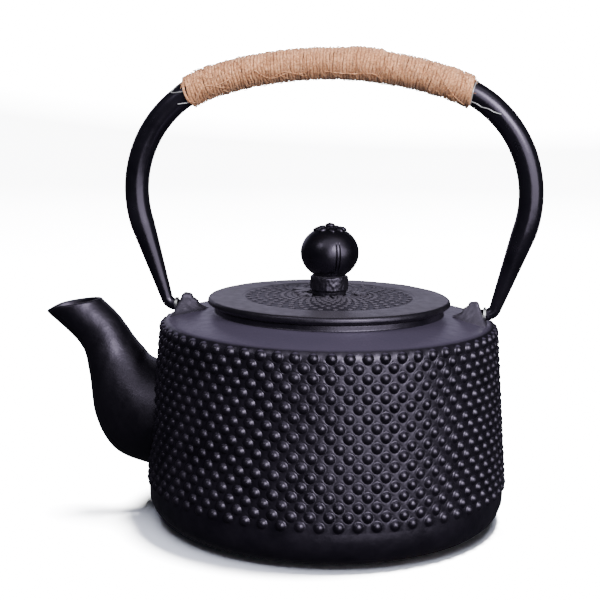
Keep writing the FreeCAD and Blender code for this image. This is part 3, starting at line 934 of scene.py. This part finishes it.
def bail_point(length):
    """Centre of the bail and its outward direction, at a length from its top towards the rear."""
    side = 1 if length >= 0 else -1
    rest = abs(length)
    if rest <= TOP_ARC_LENGTH:
        turn = rest / TOP_ARC_R
        outward = Vector((sin(turn), 0, cos(turn)))
        point = Z * TOP_ARC_Z + outward * TOP_ARC_R
    elif rest <= LEG_START:
        turn = pi / 2 - ARC_TURN - (rest - TOP_ARC_LENGTH) / SIDE_ARC_R
        outward = Vector((cos(turn), 0, sin(turn)))
        point = side_point(turn)
    else:
        outward = Vector((cos(LEAN_TURN), 0, -sin(LEAN_TURN)))
        down = Vector((-sin(LEAN_TURN), 0, -cos(LEAN_TURN)))
        point = side_point(-LEAN_TURN) + down * (min(rest, HOOK_START) - LEG_START)
        if rest > HOOK_START:
            centre = point - outward * HOOK_BEND_R
            turn = min(rest - HOOK_START, HOOK_BEND_R * HOOK_TURN) / HOOK_BEND_R
            outward = Vector((cos(LEAN_TURN + turn), 0, -sin(LEAN_TURN + turn)))
            point = centre + outward * HOOK_BEND_R
            point -= X * max(0.0, rest - PIN_START)
    return Vector((point.x * side, 0, point.z)), Vector((outward.x * side, 0, outward.z))


def bail_radius(length):
    """Radius of the bail: full over the top, tapering down the leg to the hook."""
    taper = min(1.0, max(0.0, length - LEG_START) / LEG_LENGTH)
    return BAIL_R + (HOOK_R - BAIL_R) * taper


def round_bail(length, turn, radius):
    """Point at a radius from the bail's centre line, with turn 0 outwards and 90 degrees to +Y."""
    centre, outward = bail_point(length)
    return centre + outward * radius * cos(turn) + Y * radius * sin(turn)


def make_bail():
    pin_length = bail_point(PIN_START)[0].x - PIN_END_X
    lengths = [PIN_START * k / 90 for k in range(90)]
    lengths = [length for length in lengths if length < HOOK_START - 1]
    lengths += [HOOK_START + HOOK_BEND_R * HOOK_TURN * k / 12 for k in range(12)]
    half = [(length, bail_radius(length)) for length in lengths]
    half += [(PIN_START - 0.01, HOOK_R), (PIN_START, PIN_R),
             (PIN_START + pin_length - 0.3, PIN_R), (PIN_START + pin_length, PIN_R - 0.3)]
    both = [(-length, radius) for length, radius in reversed(half[1:])] + half
    sides = 40
    shape = Shape()
    shape.skin([[round_bail(length, tau * k / sides, radius) for k in range(sides)]
                for length, radius in both])
    add_piece("bail_bar", shape, ENAMEL, "bail", "black_enamel", "bail_tube")


# ---- jute wrap ----
WRAP_START = -(TOP_ARC_LENGTH + SIDE_ARC_R * radians(90 - TOP_ARC_START - WRAP_END_LEFT))
WRAP_END = TOP_ARC_LENGTH + SIDE_ARC_R * radians(90 - TOP_ARC_START - WRAP_END_RIGHT)
# Crossing strands, each through (length along the bail, turn in degrees) points
WRAP_STRANDS = (
    ((-3, -118), (4, -126), (11, -124), (17, -118), (20, -138), (21, -170)),
    ((WRAP_END - 16, -60), (WRAP_END - 13, -84), (WRAP_END - 9, -112), (WRAP_END - 5, -134),
     (WRAP_END - 0.5, -148)),
    ((WRAP_START + 6, -150), (WRAP_START + 12, -115), (WRAP_START + 20, -100),
     (WRAP_START + 25, -60)),
    ((-26, -140), (-20, -112), (-13, -126), (-8, -105)),
    ((WRAP_START + 2, -85), (WRAP_START + 7, -62), (WRAP_START + 13, -80), (WRAP_START + 18, -68)),
    ((WRAP_START + 3, -130), (WRAP_START + 9, -100), (WRAP_START + 16, -128)),
    ((WRAP_START + 30, -90), (WRAP_START + 36, -130), (WRAP_START + 44, -115)),
)


def twine(shape, points, half_width, half_thickness):
    """Adds a three-ply twine along points that lie round the bail, flattened against it."""
    loops = []
    for i, (point, core) in enumerate(points):
        ahead = points[min(i + 1, len(points) - 1)][0] - points[max(i - 1, 0)][0]
        ahead.normalize()
        away = point - core
        away = (away - ahead * away.dot(ahead)).normalized()
        across = ahead.cross(away)
        twist = i * TWINE_TWIST
        loop = []
        for k in range(TWINE_SIDES):
            turn = tau * k / TWINE_SIDES
            lobe = 1 + 0.16 * cos(3 * turn + twist) + 0.12 * noise.noise(point * 1.3 + away * k)
            loop.append(point + across * half_width * lobe * cos(turn)
                        + away * half_thickness * lobe * sin(turn))
        loops.append(loop)
    shape.skin(loops)


def end_slant(length, turn):
    """How far the twine leans along the bail near an end of the wrap, which is shorter on top."""
    left = max(0.0, 1 - abs(length - WRAP_START) / SLANT_REACH)
    right = max(0.0, 1 - abs(WRAP_END - length) / SLANT_REACH)
    return (LEFT_SLANT * left - RIGHT_SLANT * right) * cos(turn)


def wrap_lift(length, turn):
    """Height of the twine's middle over the bail: even, with one doubled stretch over the top."""
    doubled = min(1.0, max(0.0, (length - DOUBLED_START) / 5))
    doubled *= min(1.0, max(0.0, (DOUBLED_END - length) / 1.4))
    return 0.8 + DOUBLED_LIFT * doubled * max(0.0, cos(turn)) ** 2


def winding():
    """Points along the turns of twine, each with the bail's centre beside it."""
    start = WRAP_START + 0.7
    turns = (WRAP_END - start) / TWINE_PITCH
    count = int(turns * STEPS_PER_TURN)
    points = []
    for i in range(count + 1):
        length = start + (WRAP_END - start) * i / count
        turn = tau * turns * i / count
        uneven = 0.3 * noise.noise(Vector((length * 0.55, cos(turn), sin(turn))))
        slide = 0.5 * noise.noise(Vector((length * 0.35, 2 * cos(turn), 5 + 2 * sin(turn))))
        place = length + slide + end_slant(length, turn)
        radius = BAIL_R + wrap_lift(length, turn) + uneven
        points.append((round_bail(place, turn, radius), bail_point(place)[0]))
    return points


def along_bail(points, radius):
    """Smooth points round the bail, each with the bail's centre beside it."""
    return [
        (round_bail(length, radians(turn), radius), bail_point(length)[0])
        for length, turn in smooth_rows(points, 12)
    ]


def fibre(shape, chance):
    """Adds one fine loose hair lying on the wrap or standing off it."""
    length = chance.uniform(WRAP_START + 0.5, WRAP_END - 0.5)
    turn = chance.uniform(0, tau)
    slide = chance.uniform(-3.2, 3.2)
    spin = chance.uniform(-0.7, 0.7)
    rise = chance.uniform(0.0, 0.9) ** 2
    points = []
    for k in range(5):
        share = k / 4
        radius = BAIL_R + FIBRE_LIFT + rise * sin(share * pi * 0.7)
        points.append(round_bail(length + slide * share, turn + spin * share, radius))
    wire(shape, points, chance.uniform(0.06, 0.13), sides=3, steps=2)


def make_wrap():
    chance = random.Random(21)
    shape = Shape()
    twine(shape, winding(), TWINE_HALF_WIDTH, TWINE_HALF_THICKNESS)
    end_loop = ((WRAP_START + 2.6, 10), (WRAP_START + 1.7, -25), (WRAP_START + 0.9, -60),
                (WRAP_START - 0.2, -100), (WRAP_START - 0.2, -135), (WRAP_START + 1.4, -170))
    twine(shape, along_bail(end_loop, BAIL_R + 0.9), 0.5, 0.6)
    for strand in WRAP_STRANDS:
        points = along_bail(strand, BAIL_R + STRAND_LIFT)
        twine(shape, points, STRAND_HALF_WIDTH, STRAND_HALF_THICKNESS)
    for _ in range(FIBRES):
        fibre(shape, chance)
    add_piece("jute_winding", shape, JUTE, "bail", "jute", "jute_wrap")


# ---- wire ties ----
# Wires through (distance past the wrap's end, turn in degrees) points
REAR_TIE_WIRES = (
    ((-0.4, -200), (-0.3, -130), (0.2, -85), (1.1, -45), (2.1, -5), (1.9, 50), (1.0, 120),
     (0.4, 200), (0.3, 260), (0.8, 310), (1.2, 350), (0.2, 385)),
    ((0.2, -128), (3.0, -122), (5.5, -121), (8.5, -108), (11.5, -101), (14.5, -86)),
)
SPOUT_SIDE_TIE_WIRES = (
    ((-0.5, -20), (2.5, -22), (5.4, -35), (5.0, -50), (2.4, -68), (-0.5, -84)),
    ((-0.5, -140), (2.0, -124), (4.8, -108)),
    ((-0.4, -90), (0.6, -20), (0.7, 60), (0.7, 150), (0.4, 230), (-0.4, 262)),
)


def make_wire_tie(name, start, side, wires, node_name):
    """Thin wires round the bail beside the wrap's end, with loose ends lying along it."""
    shape = Shape()
    for points in wires:
        placed = []
        for reach, heading in points:
            turn = radians(heading)
            along = start + side * reach + end_slant(start, turn)
            placed.append(round_bail(along, turn, BAIL_R + TIE_R))
        wire(shape, placed, TIE_R, sides=8, steps=6)
    add_piece(name, shape, WIRE_STEEL, "bail", "wire", node_name)


# ---- strainer ----
def make_strainer_mesh():
    """Perforated sleeve: staggered round holes through thin sheet."""
    spacing = (SLEEVE_TOP_Z - SLEEVE_FOOT_Z) / (HOLE_ROWS + 1)
    steps_round = CELL_STEPS * HOLES_PER_ROW
    shape = Shape()

    def add_side(r):
        """Adds one side of the sheet, and returns the rings of its holes."""
        def place(step, rise):
            return (*polar(r, tau * step / steps_round), SLEEVE_TOP_Z + (rise / 3 - 1) * spacing)

        corners = SharedCorners(shape, HOLES_PER_ROW, place)
        holes = []
        for row, step, boundary in cells(HOLE_ROWS, HOLES_PER_ROW, 3.0):
            ring = []
            for across, up in round_outline(HOLE_R, CELL_STEPS):
                steps = across / (tau * SLEEVE_R) * steps_round
                ring.append(place(step + steps, 3 * up / spacing - 3 * row))
            holes.append(shape.add(ring))
            shape.join([corners.at(*corner) for corner in boundary], holes[-1])
        return holes

    for outer, inner in zip(add_side(SLEEVE_R), add_side(SLEEVE_R - SLEEVE_SHEET)):
        shape.join(outer, inner)
    add_piece("strainer_sleeve", shape, STRAINER_STEEL, "pot", "steel", "strainer_mesh")


# ---- carried-over CAD nodes ----
def paint_cad_nodes():
    """The small steel nodes keep their CAD shapes and take the strainer's steel."""
    for name in ("strainer_rim", "strainer_base", "knob_washer", "knob_nut",
                 "rear_pivot_collar", "spout_side_pivot_collar"):
        for material_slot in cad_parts[name].material_slots:
            material_slot.material = STRAINER_STEEL


# ---- studio and camera ----
def make_backdrop():
    """Pale round floor that rises all round into a pale wall."""
    corners = ((0, 0, 0), (2600, 0, 900), (2600, 3000, 0))
    shape = Shape()
    points = spaced(rounded(corners, 16), 400)
    rings = [shape.add(circle(p.x, p.y, 96)) for p in points[1:]]
    for ring, following in zip(rings, rings[1:]):
        shape.join(ring, following)
    shape.close(rings[0], (0, 0, 0))
    paper = Surface("backdrop_paper", Roughness=0.9, Specular_IOR_Level=0.1)
    darker, lighter = (0.3, (0.86, 0.86, 0.87)), (0.7, (0.9, 0.9, 0.91))
    paper.feed(Base_Color=paper.ramp(paper.noise(2, 2), darker, lighter))
    backdrop = make_object("backdrop", shape, paper.material)
    for face in backdrop.data.polygons:
        if face.normal.z < -1e-6:
            face.flip()
    backdrop.visible_glossy = False
    backdrop.visible_diffuse = False
    return backdrop


def softbox(name, azimuth, elevation, distance, width, height, radiance, colour=(1, 1, 1)):
    """Area light aimed at the pot. Azimuth 0 is the front, and grows towards the rear lug.

    With a negative distance it stands on the far side of the pot and shines away from it.
    """
    light = bpy.data.lights.new(name, "AREA")
    light.shape = "RECTANGLE"
    light.size = width
    light.size_y = height
    light.energy = radiance * pi * width * height
    light.color = colour
    lamp = bpy.data.objects.new(name, light)
    lamp.visible_camera = False
    rise = radians(elevation)
    way = Vector((*polar(cos(rise), radians(azimuth - 90)), sin(rise)))
    facing = way.to_track_quat("Z", "Y").to_matrix().to_4x4()
    lamp.matrix_world = Matrix.Translation(Vector((0, 0, 0.09)) + way * distance) @ facing
    bpy.context.scene.collection.objects.link(lamp)
    return lamp


def linked_for_light(name, piece, state):
    """A collection that includes one piece for a light, or excludes it."""
    linked = bpy.data.collections.new(name)
    linked.objects.link(piece)
    linked.collection_objects[0].light_linking.link_state = state
    return linked


def hide_from_light(piece, lamp):
    """The piece casts no shadow from one light."""
    without = linked_for_light("no_shadow_of_" + piece.name, piece, "EXCLUDE")
    lamp.light_linking.blocker_collection = without


def light_scene(backdrop):
    """Soft light on the teapot, and other light on the backdrop, whose main one it returns."""
    on_teapot = [
        softbox("front", 38, 12, 1.0, 1.3, 0.7, 4.5),
        softbox("key", 34, 28, 1.1, 0.45, 0.45, 20),
        softbox("overhead", 20, 56, 1.2, 1.6, 0.9, 1.3),
        softbox("back", 200, 14, 1.4, 1.6, 0.6, 0.7, (0.8, 0.75, 1.0)),
        softbox("left_key", -40, 40, 1.2, 0.3, 0.3, 6),
        softbox("side_fill", -55, 42, 1.2, 0.9, 0.9, 5),
    ]
    on_teapot[-1].visible_glossy = False
    on_backdrop = [
        softbox("wash", 130, 79, 2.4, 0.35, 0.35, 3400),
        softbox("wash_fill", 0, 90, 2.4, 2.4, 2.4, 9, (0.8, 0.84, 1.0)),
        softbox("wall_wash", 0, -35, -1.6, 3.0, 0.8, 260),
    ]
    for lamps, state in ((on_teapot, "EXCLUDE"), (on_backdrop, "INCLUDE")):
        linked = linked_for_light("backdrop_" + state.lower(), backdrop, state)
        for lamp in lamps:
            lamp.light_linking.receiver_collection = linked
    world = bpy.data.worlds.new("studio")
    world.use_nodes = True
    background = world.node_tree.nodes["Background"]
    background.inputs["Color"].default_value = (0.8, 0.8, 1.0, 1)
    background.inputs["Strength"].default_value = 0.04
    bpy.context.scene.world = world
    return on_backdrop[0]


def make_camera():
    """Camera in front of the pot, level apart from its pitch and a small roll."""
    camera = bpy.data.cameras.new("camera")
    camera.lens = CAMERA_LENS
    camera.sensor_width = CAMERA_SENSOR
    camera.clip_start = 0.01
    level = Vector(CAMERA_HEADING).normalized()
    ahead = level * cos(CAMERA_PITCH) - Z * sin(CAMERA_PITCH)
    right = ahead.cross(Z).normalized()
    turned = Matrix((right, right.cross(ahead), -ahead)).transposed().to_4x4()
    turned @= Matrix.Rotation(CAMERA_ROLL, 4, "Z")
    holder = bpy.data.objects.new("camera", camera)
    holder.matrix_world = Matrix.Translation(CAMERA_PLACE) @ turned
    bpy.context.scene.collection.objects.link(holder)
    bpy.context.scene.camera = holder


# ---- make everything ----
make_camera()
wash = light_scene(make_backdrop())
make_pot_body()
hide_from_light(make_spout(), wash)
make_lug("rear_lug_casting", 1, "rear_lug", REAR_LUG_PAINTED_LIGHT_IRON)
make_lug("spout_side_lug_casting", -1, "spout_side_lug", LUG_IRON)
make_lid()
make_knob()
make_knob_collar()
make_bail()
make_wrap()
make_wire_tie("rear_tie_wire", WRAP_END, 1, REAR_TIE_WIRES, "rear_wire_tie")
make_wire_tie("spout_side_tie_wire", WRAP_START, -1, SPOUT_SIDE_TIE_WIRES, "spout_side_wire_tie")
make_strainer_mesh()
paint_cad_nodes()
